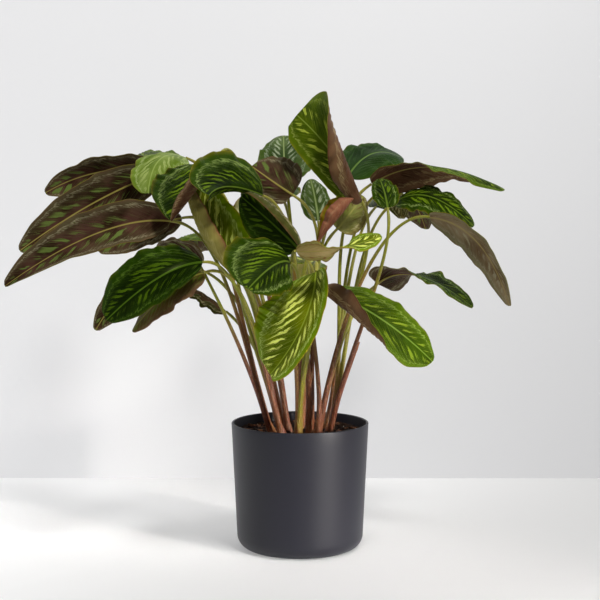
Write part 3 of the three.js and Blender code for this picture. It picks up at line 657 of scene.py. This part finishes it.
# The looks of a blade's face: ground from dark to light, feathers and how strong they are, dashes
# and how strong they are, margin, edge and rib. Where given, rough is the roughness, period the
# distance between veins, and reach and line how far out feathers and dashes lie in their half
LOOKS = {
    "dark": dict(
        ground=((2, 15, 0), (25, 44, 0)), feather=(110, 138, 26), streak=0.9, dashes=(150, 172, 92),
        dash=0.85, margin=(47, 72, 3), edge=(112, 108, 24), rib=(98, 122, 38), rough=0.38,
    ),
    "deep": dict(
        ground=((2, 14, 0), (14, 32, 0)), feather=(74, 102, 12), streak=0.85, dashes=(92, 122, 40),
        dash=0.7, margin=(36, 62, 2), edge=(84, 92, 18), rib=(72, 100, 24), rough=0.36,
    ),
    "mid": dict(
        ground=((22, 40, 0), (48, 72, 4)), feather=(136, 156, 42), streak=0.9, dashes=(140, 160, 70),
        dash=0.8, margin=(80, 106, 10), edge=(110, 116, 28), rib=(112, 138, 50), rough=0.4,
        period=14.0,
    ),
    "bright": dict(
        ground=((48, 66, 2), (82, 100, 8)), feather=(170, 184, 64), streak=0.95,
        dashes=(158, 172, 74), dash=0.85, margin=(84, 106, 10), edge=(122, 122, 28),
        rib=(126, 144, 54), rough=0.4, period=16.0,
    ),
    "young": dict(
        ground=((66, 80, 0), (102, 112, 4)), feather=(234, 244, 118), streak=1.0,
        dashes=(196, 216, 112), dash=1.0, margin=(116, 148, 8), edge=(164, 150, 38),
        rib=(142, 158, 50), period=15.0, reach=0.55,
    ),
    "silver": dict(
        ground=((34, 56, 6), (82, 102, 50)), feather=(164, 176, 142), streak=0.9,
        dashes=(170, 182, 150), dash=0.8, margin=(66, 88, 32), edge=(118, 124, 76),
        rib=(138, 154, 96), rough=0.36,
    ),
    "copper": dict(
        ground=((110, 78, 8), (148, 98, 20)), feather=(176, 134, 40), streak=0.5,
        dashes=(170, 136, 50), dash=0.4, margin=(104, 102, 14), edge=(150, 106, 50),
        rib=(150, 146, 50),
    ),
    "pale": dict(
        ground=((150, 150, 98), (164, 160, 108)), feather=(192, 196, 146), streak=0.7,
        dashes=(190, 184, 146), dash=0.4, margin=(150, 148, 92), edge=(160, 126, 92),
        rib=(170, 168, 100), rough=0.5,
    ),
    "plum": dict(
        ground=((42, 14, 13), (84, 52, 46)), feather=(104, 124, 58), streak=0.95,
        dashes=(160, 152, 118), dash=0.85, margin=(92, 84, 58), edge=(112, 84, 60),
        rib=(158, 148, 74), period=22.0, reach=0.6, line=0.83,
    ),
    "rust": dict(
        ground=((62, 54, 14), (92, 78, 34)), feather=(84, 104, 26), streak=0.7, dashes=(120, 120, 66),
        dash=0.5, margin=(106, 80, 58), edge=(124, 92, 66), rib=(124, 124, 52),
    ),
    "fresh": dict(
        ground=((88, 112, 26), (126, 146, 64)), feather=(172, 188, 108), streak=0.8,
        dashes=(190, 206, 132), dash=0.8, margin=(118, 146, 40), edge=(150, 150, 60),
        rib=(150, 168, 86),
    ),
    "rose": dict(
        ground=((62, 34, 23), (112, 76, 58)), feather=(148, 126, 86), streak=0.5,
        dashes=(180, 158, 112), dash=0.7, margin=(112, 84, 58), edge=(90, 56, 38), rib=(158, 146, 80),
    ),
    "blush": dict(
        ground=((130, 74, 56), (156, 100, 76)), feather=(176, 130, 96), streak=0.4,
        dashes=(186, 150, 110), dash=0.4, margin=(146, 94, 70), edge=(120, 72, 54),
        rib=(170, 150, 90),
    ),
    # This look is a pale plum underside: partly its own paler tone, partly painted sheen that
    # lightens all of it.
    "dusk": dict(
        ground=((112, 88, 64), (152, 132, 102)), feather=(178, 174, 140), streak=0.6,
        dashes=(172, 166, 136), dash=0.6, margin=(132, 128, 94), edge=(120, 84, 64),
        rib=(164, 150, 94), rough=0.4,
    ),
    "tan": dict(
        ground=((118, 114, 40), (156, 148, 76)), feather=(176, 172, 96), streak=0.8,
        dashes=(190, 178, 120), dash=0.5, margin=(140, 130, 68), edge=(132, 78, 56),
        rib=(170, 160, 84), rough=0.46,
    ),
    "mottled": dict(
        ground=((44, 52, 18), (96, 84, 48)), feather=(168, 160, 112), streak=0.95,
        dashes=(192, 180, 132), dash=1.0, margin=(70, 76, 30), edge=(104, 72, 48), rib=(146, 138, 78),
        rough=0.46,
    ),
    "flecked": dict(
        ground=((112, 118, 52), (160, 158, 96)), feather=(104, 74, 44), streak=0.9,
        dashes=(196, 186, 142), dash=0.8, margin=(128, 116, 64), edge=(104, 72, 48),
        rib=(160, 156, 84), rough=0.46,
    ),
    # This look is painted shade: a dim blue-green face with weak feathers, for a leaf that lies in
    # shadow.
    "shade": dict(
        ground=((16, 38, 10), (36, 60, 26)), feather=(58, 88, 44), streak=0.5, dashes=(84, 112, 62),
        dash=0.5, margin=(44, 74, 20), edge=(92, 98, 30), rib=(100, 128, 60), rough=0.4,
    ),
    "sheath": dict(
        ground=((186, 160, 104), (206, 180, 128)), feather=(150, 148, 76), streak=0.7,
        dashes=(128, 66, 46), dash=1.0, margin=(120, 128, 34), edge=(120, 60, 44), rib=(172, 158, 88),
        rough=0.46,
    ),
}

LEAF_SPECULAR = 0.08
LEAF_ROUGHNESS = 0.42
LEAF_GLOSS_TINT = (0.8, 1.0, 0.3, 1)
VEIN_PERIOD = 13.0
FEATHER_REACH = 0.44
DASH_LINE = 0.76


class BladePaint(Paint):
    """One face of a blade: feathers out from the midrib, a line of dashes and a plain margin.

    u runs from neck to tip, distance is that from the midrib and share the same as a share of the
    half's width, and vein grows from one side vein to the next. crest is 1 on a vein and 0
    between two, and luck and power are random for each vein.
    """

    def __init__(self, name, look, under):
        super().__init__(name)
        self.look, self.under = look, under
        self.u, v, self.vein = self.split(self.field("blade"))
        flat = self.field("flat")
        _, away, self.seed = self.split(flat)
        self.share, self.distance, half = abs(v), abs(away), self.math("SIGN", v)
        wander = (self.noise(flat, 0.06, 2) - 0.5) * 20.0
        turns = (self.vein + wander) / look.get("period", VEIN_PERIOD)
        cell = self.math("FLOOR", turns)
        self.crest = 1.0 - abs(turns - cell - 0.5) * 2.0
        self.luck = self.chance(cell, half, self.seed)
        self.power = self.chance(self.seed, cell, half)
        self.fibre = self.vein_noise(0.36, 0.03, 3, 0.75)
        self.thread = self.vein_noise(1.3, 0.05, 2, 0.6)
        self.patch = self.smooth(self.noise(flat, 0.022, 1), 0.3, 0.6)
        self.cloud = self.noise(flat, 0.03, 3)
        self.grain = self.noise(flat, 0.9, 3, 0.6)
        jag = self.noise(self.vector(self.vein * 0.3, self.seed, half), 1.0, 2)
        self.line = look.get("line", DASH_LINE) + (jag - 0.5) * 0.2 - self.crest * 0.07

    def vein_noise(self, across, along, detail, roughness=0.5):
        """Noise drawn out along the side veins."""
        place = self.vector(self.vein * across, self.distance * along, self.seed)
        return self.noise(place, 1.0, detail, roughness)

    def feather_reach(self):
        """Where feathers may be: along each vein, from near the midrib to its own reach."""
        luck, share = self.luck, self.share
        reach = self.look.get("reach", FEATHER_REACH) + luck * 0.36
        start = 0.03 + luck * 0.08
        begun, ended = self.smooth(share, start, start + 0.16), self.smooth(share, 0.3, reach)
        brink = self.blend(self.smooth(share, 0.02, 0.42), 0.78, 0.5) - self.power * 0.4
        broad = self.smooth(self.crest, brink, brink + 0.24)
        slim = (1.0 - self.smooth(self.crest, 0.0, 0.16)) * (self.power * 0.8)
        reached = begun * (1.0 - ended) * self.math("MAXIMUM", broad, slim)
        reached = reached * (0.35 + luck * 0.45) * (0.7 + self.patch * 0.6)
        if self.under:
            reached = reached * (0.45 + self.smooth(self.u, 0.15, 0.55) * 0.55)
        return reached

    def feathers(self):
        """How much of a feather shows, broken into fibres and threads."""
        reached = self.feather_reach()
        feather = reached * 0.85 + (self.fibre - 0.5) * 1.5 + (self.thread - 0.5) * 0.6
        feather = self.smooth(feather, 0.24, 0.6) * self.smooth(reached, 0.02, 0.25)
        return feather * self.smooth(self.u, 0.01, 0.1)

    def dashes(self):
        """How much of a pale dash shows, on the line round the margin and just inside it."""
        tick = self.vein_noise(0.9, 0.2, 2)
        near = self.band(self.share, self.line, 0.015, 0.026) * self.smooth(tick, 0.38, 0.52)
        flame = self.band(self.share, self.line - 0.06, 0.03, 0.07) * self.smooth(tick, 0.5, 0.62)
        return self.math("MAXIMUM", near, flame) * self.blend(self.patch, 0.6, 1.0)

    def ground(self):
        """The ground between the feathers, lighter in clouds, fibres and toward the margin, with pale
        threads along the fine veins that are partly painted sheen.
        """
        margin = self.look["margin"]
        ground = self.mix(self.smooth(self.cloud, 0.35, 0.65), *self.look["ground"])
        ground = self.mix(self.smooth(self.fibre, 0.45, 0.75) * 0.4, ground, margin)
        inner = self.smooth(self.share, 0.3, self.line) * self.blend(self.cloud, 0.1, 0.6)
        ground = self.mix(inner, ground, margin)
        # Pale threads along the fine veins: partly the veins' own paler colour, partly painted sheen.
        return self.mix(self.smooth(self.thread, 0.52, 0.74) * 0.3, ground, self.look["feather"])

    def colour(self):
        """The ground with feathers, then margin, ripe rim, dashes, edge, rib and grain over it."""
        look, share, line = self.look, self.share, self.line
        low, high = look["ground"]
        colour = self.mix(self.feathers() * look["streak"], self.ground(), look["feather"])
        lighter = self.mix(0.6, look["margin"], high)
        margin = self.mix(self.smooth(self.fibre, 0.4, 0.7), look["margin"], lighter)
        colour = self.mix(self.smooth(share, line - 0.01, line + 0.09), colour, margin)
        ripe = self.smooth(share, 0.84, 0.99) * self.smooth(self.cloud, 0.36, 0.62)
        colour = self.mix(ripe * 0.55, colour, look["edge"])
        colour = self.mix(self.dashes() * look["dash"], colour, look["dashes"])
        colour = self.mix(self.smooth(share, 0.965, 0.99), colour, look["edge"])
        thick = self.blend(self.u, 1.3, 0.45)
        rib = 1.0 - self.smooth(self.distance, thick, thick + 0.5)
        colour = self.mix(rib * 0.8, colour, look["rib"])
        return self.mix((self.grain - 0.3) * 0.35, colour, self.mix(0.5, colour, low))

    def relief(self):
        """Fine cords along the side veins, flat beside the midrib."""
        cords = self.math("SINE", self.vein * 2.6)
        return (cords * 0.5 + self.fibre * 0.6) * self.smooth(self.share, 0.02, 0.2)


def leaf_paint(name, look, under):
    paint = BladePaint(name, look, under)
    paint.bump(paint.relief(), 0.00035, 0.75)
    rough = look.get("rough", LEAF_ROUGHNESS)
    roughness = paint.blend(paint.grain, rough - 0.08, rough + 0.06)
    paint.surface(paint.colour(), roughness, LEAF_SPECULAR)
    paint.shader.inputs["Specular Tint"].default_value = LEAF_GLOSS_TINT
    return paint.material


def stalk_paint():
    """A stalk: brown in its sheath, olive and then yellow-green above, with fine dark lines and pale
    streaks, the streaks partly painted highlight.
    """
    paint = Paint("stalk_skin")
    t, seed, _ = paint.split(paint.field("stem"))
    x, y, z = paint.split(paint.place())
    stretched = paint.vector(x * 9, y * 9, z)
    luck = paint.chance(seed, seed, 1.0)
    level = t + (paint.noise(stretched, 60, 3) - 0.5) * 0.2 + (luck - 0.5) * 0.6
    colour = paint.mix(luck, (100, 44, 26), (156, 98, 48))
    colour = paint.mix(paint.smooth(level, 0.04, 0.36), colour, (132, 92, 40))
    colour = paint.mix(paint.smooth(level, 0.2, 0.48), colour, (130, 134, 26))
    colour = paint.mix(paint.smooth(level, 0.62, 0.97), colour, (160, 156, 60))
    # Pale streaks along the stalk: partly its own pale striping, partly painted highlight.
    pale = paint.smooth(paint.noise(stretched, 120, 1), 0.56, 0.68)
    colour = paint.mix(pale * 0.45, colour, paint.mix(0.6, colour, (190, 166, 126)))
    lines = paint.smooth(paint.noise(stretched, 200, 2), 0.45, 0.7)
    colour = paint.mix(lines * 0.45, colour, paint.mix(0.6, colour, (66, 34, 26)))
    paint.bump(lines, 0.0002, 0.5)
    paint.surface(colour, 0.45, specular=0.4)
    return paint.material


def pot_paint():
    paint = Paint("pot_charcoal")
    place = paint.place()
    cloud = paint.noise(place, 9, 3)
    grain = paint.noise(place, 900, 2)
    colour = paint.mix(cloud, (26, 26, 35), (32, 32, 41))
    paint.bump(grain * 0.5 + cloud, 0.00012, 0.4)
    paint.surface(colour, paint.blend(cloud, 0.4, 0.46), specular=0.35)
    return paint.material


def peat_paint():
    paint = Paint("soil_peat")
    place = paint.place()
    cloud = paint.noise(place, 60, 4, 0.6)
    grain = paint.noise(place, 500, 4, 0.7)
    colour = paint.mix(cloud, (16, 8, 4), (50, 30, 18))
    colour = paint.mix(paint.smooth(grain, 0.55, 0.75), colour, (86, 60, 42))
    paint.bump(grain + cloud, 0.0012, 0.9)
    paint.surface(colour, 0.9, specular=0.2)
    return paint.material


def bark_paint():
    paint = Paint("soil_bark")
    place = paint.place()
    fibre = paint.noise(place, 220, 4, 0.7)
    chip = paint.noise(place, 45, 1)
    colour = paint.mix(paint.smooth(chip, 0.35, 0.65), (70, 42, 28), (150, 96, 58))
    colour = paint.mix(paint.smooth(fibre, 0.45, 0.7), colour, (46, 28, 20))
    paint.bump(fibre, 0.0008, 0.8)
    paint.surface(colour, 0.8, specular=0.25)
    return paint.material


def perlite_paint():
    paint = Paint("soil_perlite")
    grain = paint.noise(paint.place(), 600, 3)
    colour = paint.mix(grain, (196, 186, 172), (226, 220, 210))
    paint.bump(grain, 0.0005, 0.6)
    paint.surface(colour, 0.85, specular=0.25)
    return paint.material


# ------------------------------------ the pieces

def build_leaves():
    painted = {}

    def paint_for(look, under):
        key = f"blade_{'under' if under else 'top'}_{look}"
        if key not in painted:
            painted[key] = leaf_paint(key, LOOKS[look], under)
        return painted[key]

    for leaf in LEAVES:
        heap = Heap()
        heap.add(*blade_mesh(leaf))
        name = leaf["name"]
        materials = [paint_for(leaf["top"], False), paint_for(leaf["under"], True)]
        make_piece("blade_" + name, heap, materials, ["leaf_" + name])


def stalk_radii(t, ends):
    """A stalk's radius along it, wide in its sheath, with the small knee below the blade."""
    knee = KNEE_SWELL * np.exp(-((t - KNEE_PLACE) / KNEE_LENGTH) ** 2)
    sheath = SHEATH_SWELL * (1 - smoothstep(t, 0, SHEATH_END))
    return ends[0] + (ends[1] - ends[0]) * t ** STALK_TAPER + knee + sheath


def add_stem(heap, path, radii, sides, t, seed):
    """A tube whose vertices know how far up they are and which stem they belong to."""
    t = np.repeat(t, sides)
    stem = np.stack([t, 0 * t + seed, 0 * t], axis=-1)
    heap.add(*tube_mesh(path, radii, sides), fields={"stem": stem})


def build_shoots(skin):
    for number, (name, shoot) in enumerate(SHOOTS.items()):
        heap = Heap()
        ground, way = foot_line(shoot)
        levels = np.linspace(-FOOT_DEPTH, FOOT_RISE, FOOT_LEVELS)
        widths = [FOOT_RADIUS, FOOT_RADIUS, FOOT_TOP_RADIUS]
        radii = np.interp(levels, [-FOOT_DEPTH, 0, FOOT_RISE], widths)
        add_stem(heap, ground + levels[:, None] * way, radii, FOOT_SIDES, 0 * levels, number)
        stalks = [(*leaf_stalk(leaf), 1.0) for leaf in LEAVES if leaf["shoot"] == name]
        if name == CUT_STALK["shoot"]:
            stalks.append((*cut_stalk(), CUT_RIPENESS))
        for k, (path, t, ends, ripeness) in enumerate(stalks):
            seed = number + 0.1 * (k + 1)
            add_stem(heap, path, stalk_radii(t, ends), STALK_SIDES, t * ripeness, seed)
        make_piece("stalks_" + name, heap, [skin], ["shoot_" + name])


def wall_radius(share):
    """The pot's outer radius, from 0 above its rounded edge to 1 at its rim."""
    return POT_FOOT_RADIUS + (POT_RIM_RADIUS - POT_FOOT_RADIUS) * share


def build_pot(skin):
    flat = POT_FOOT_RADIUS - POT_EDGE_RADIUS
    inside = POT_FOOT_RADIUS - POT_WALL
    lip = POT_HEIGHT - POT_LIP_RISE
    profile = [(0, 0), (flat / 2, 0), (flat, 0)]
    for degrees in range(EDGE_STEP_DEGREES, 91, EDGE_STEP_DEGREES):
        angle = math.radians(degrees)
        profile.append((
            flat + math.sin(angle) * POT_EDGE_RADIUS,
            POT_EDGE_RADIUS * (1 - math.cos(angle)),
        ))
    for step in range(1, POT_WALL_STEPS + 1):
        share = step / POT_WALL_STEPS
        profile.append((wall_radius(share), POT_EDGE_RADIUS + (lip - POT_EDGE_RADIUS) * share))
    for degrees in range(LIP_STEP_DEGREES, 180, LIP_STEP_DEGREES):
        angle = math.radians(degrees)
        profile.append((
            POT_RIM_RADIUS - POT_WALL / 2 + math.cos(angle) * POT_WALL / 2,
            lip + math.sin(angle) * POT_LIP_RISE,
        ))
    profile += [(POT_RIM_RADIUS - POT_WALL, lip), (inside, POT_EDGE_RADIUS)]
    profile += [(inside - inward, POT_FLOOR + up) for inward, up in POT_BEVEL]
    profile.append((0, POT_FLOOR))
    heap = Heap()
    heap.add(*lathe(profile, POT_SIDES))
    make_piece("pot_shell", heap, [skin], ["pot"], crease=40)


def soil_height(x, y):
    ripple = np.sin(x / 9 + 1.3) * np.cos(y / 11 - 0.6) + np.sin((x + y) / 6.1)
    lumps = np.sin(x / 2.1 + 2 * np.sin(y / 3.7)) * np.sin(y / 2.3 + 2 * np.sin(x / 4.1))
    return SOIL_HEIGHT + SOIL_RELIEF * ripple / 2 + SOIL_LUMPS * lumps


def scatter_bits(heap, reach):
    """Chips of bark, crumbs of peat and grains of perlite, lying clear of the shoots' feet."""
    random = np.random.default_rng(BITS_SEED)
    feet = [shoot["foot"] for shoot in SHOOTS.values()]
    cube = np.array([[x, y, z] for x in (-1, 1) for y in (-1, 1) for z in (-1, 1)], float)
    faces = [[0, 1, 3, 2], [4, 6, 7, 5], [0, 4, 5, 1], [2, 3, 7, 6], [0, 2, 6, 4], [1, 5, 7, 3]]
    for kind, count, sizes, stretch in BITS:
        for _ in range(count):
            radius = reach * math.sqrt(random.random())
            angle = random.random() * 2 * math.pi
            x, y = radius * math.cos(angle), radius * math.sin(angle)
            size = random.uniform(*sizes)
            shape = cube * stretch * size * random.uniform(*BIT_UNEVENNESS, cube.shape)
            tilts = [random.uniform(-BIT_TILT, BIT_TILT) for _ in range(2)]
            spin = Euler((*tilts, random.uniform(0, BIT_TURN)))
            if min(math.hypot(x - a, y - b) for a, b in feet) > FOOT_RADIUS + 1.5 * size:
                place = np.array([x, y, soil_height(x, y) + size * BIT_RISE])
                heap.add(shape @ np.array(spin.to_matrix()).T + place, faces, [kind] * len(faces))


def build_soil(materials):
    straight = POT_HEIGHT - WALL_TOP_DROP - POT_EDGE_RADIUS
    edge = SOIL_HEIGHT - SOIL_EDGE_DROP
    lip = wall_radius((edge - POT_EDGE_RADIUS) / straight) - POT_WALL - SOIL_GAP - SOIL_WALL_GAP
    foot = POT_FOOT_RADIUS - POT_WALL - SOIL_GAP
    profile = [(0, POT_FLOOR + SOIL_GAP)]
    profile += [(foot - inward, POT_FLOOR + up) for inward, up in SOIL_BEVEL]
    profile += [(foot - SOIL_WALL_GAP, POT_EDGE_RADIUS), (lip, edge)]
    profile += [(lip * (1 - k / SOIL_RINGS), SOIL_HEIGHT) for k in range(SOIL_RINGS + 1)]
    points, faces = lathe(profile, SOIL_SIDES)
    top = points[:, 2] >= SOIL_HEIGHT
    points[top, 2] = soil_height(points[top, 0], points[top, 1])
    heap = Heap()
    heap.add(points, faces)
    scatter_bits(heap, lip - BITS_MARGIN)
    make_piece("soil_bed", heap, materials, ["soil"], crease=35)


# ------------------------------------ the stage

def plain_paint(name, colour, glow, dim):
    """A plain sheet with a painted glow of its own, and painted shade that makes it dimmer toward the
    right and the front.
    """
    paint = Paint(name)
    x, y, z = paint.split(paint.place())
    # Painted shade: a ramp that darkens the sheet toward the right, the front and downward.
    shade_ramp = paint.smooth(x - z * 0.5 - y * 0.8, -0.7, 0.5)
    shaded_colour = paint.mix(shade_ramp, colour, paint.mix(dim, (0, 0, 0), colour))
    paint.surface(shaded_colour, 0.7, specular=0.1)
    # Painted glow: the sheet gives off light of its own, which brightens it and softens the shadows
    # on it.
    paint.feed(paint.shader.inputs["Emission Color"], shaded_colour)
    paint.shader.inputs["Emission Strength"].default_value = glow
    return paint


def open_back(paint):
    """Lets a sheet be seen through from behind, so the wall hides nothing from there."""
    chosen = paint.node("MixShader")
    sources = (
        paint.node("NewGeometry").outputs["Backfacing"],
        paint.shader.outputs[0],
        paint.node("BsdfTransparent").outputs[0],
    )
    for source, socket in zip(sources, chosen.inputs):
        paint.tree.links.new(source, socket)
    paint.tree.links.new(chosen.outputs[0], paint.output.inputs[0])


def build_sheet(name, corners, paint):
    mesh = bpy.data.meshes.new(name)
    mesh.from_pydata(corners, [], [[0, 1, 2, 3]])
    mesh.materials.append(paint.material)
    sheet = put(name, mesh)


def build_stage():
    r = STAGE_REACH
    # Both sheets have painted glow and painted shade. The wall gets most of its brightness from its
    # glow.
    floor = plain_paint("stage_floor", (238, 238, 238), glow=0.37, dim=0.6)
    ground = [(-r, -r, 0), (r, -r, 0), (r, r, 0), (-r, r, 0)]
    build_sheet("floor", ground, floor)
    wall = plain_paint("stage_wall", (163, 163, 164), glow=1.35, dim=0.74)
    open_back(wall)
    back = [(-r, WALL_Y, 0), (r, WALL_Y, 0), (r, WALL_Y, r), (-r, WALL_Y, r)]
    build_sheet("wall", back, wall)


def area_light(name, place, aim, size, power, colour, spread=180):
    """A rectangle that shines at a point. A small spread keeps its light in a narrow beam."""
    data = bpy.data.lights.new(name, "AREA")
    data.shape = "RECTANGLE"
    data.size, data.size_y = size
    data.energy = power
    data.color = colour
    data.spread = math.radians(spread)
    light = put(name, data)
    light.location = place
    light.rotation_euler = (Vector(aim) - Vector(place)).to_track_quat("-Z", "Y").to_euler()


def build_lights():
    world = bpy.data.worlds.new("studio")
    world.use_nodes = True
    backdrop = world.node_tree.nodes["Background"]
    backdrop.inputs["Color"].default_value = (1, 1, 1, 1)
    backdrop.inputs["Strength"].default_value = WORLD_LIGHT
    bpy.context.scene.world = world
    for name, light in LIGHTS.items():
        area_light(name, **light)
    bpy.context.scene.view_settings.view_transform = "Standard"


def build_camera():
    data = bpy.data.cameras.new("camera")
    data.sensor_width = SENSOR_WIDTH
    data.lens = CAMERA_LENS
    data.clip_start, data.clip_end = CAMERA_RANGE
    camera = put("camera", data)
    camera.location = CAMERA_PLACE
    camera.rotation_euler = (math.radians(90 - CAMERA_DROP), 0, 0)
    bpy.context.scene.camera = camera


for number, leaf in enumerate(LEAVES):
    leaf["phase"] = number * WAVE_SHIFT

build_camera()
build_stage()
build_lights()
build_pot(pot_paint())
build_soil([peat_paint(), bark_paint(), perlite_paint()])
build_shoots(stalk_paint())
build_leaves()
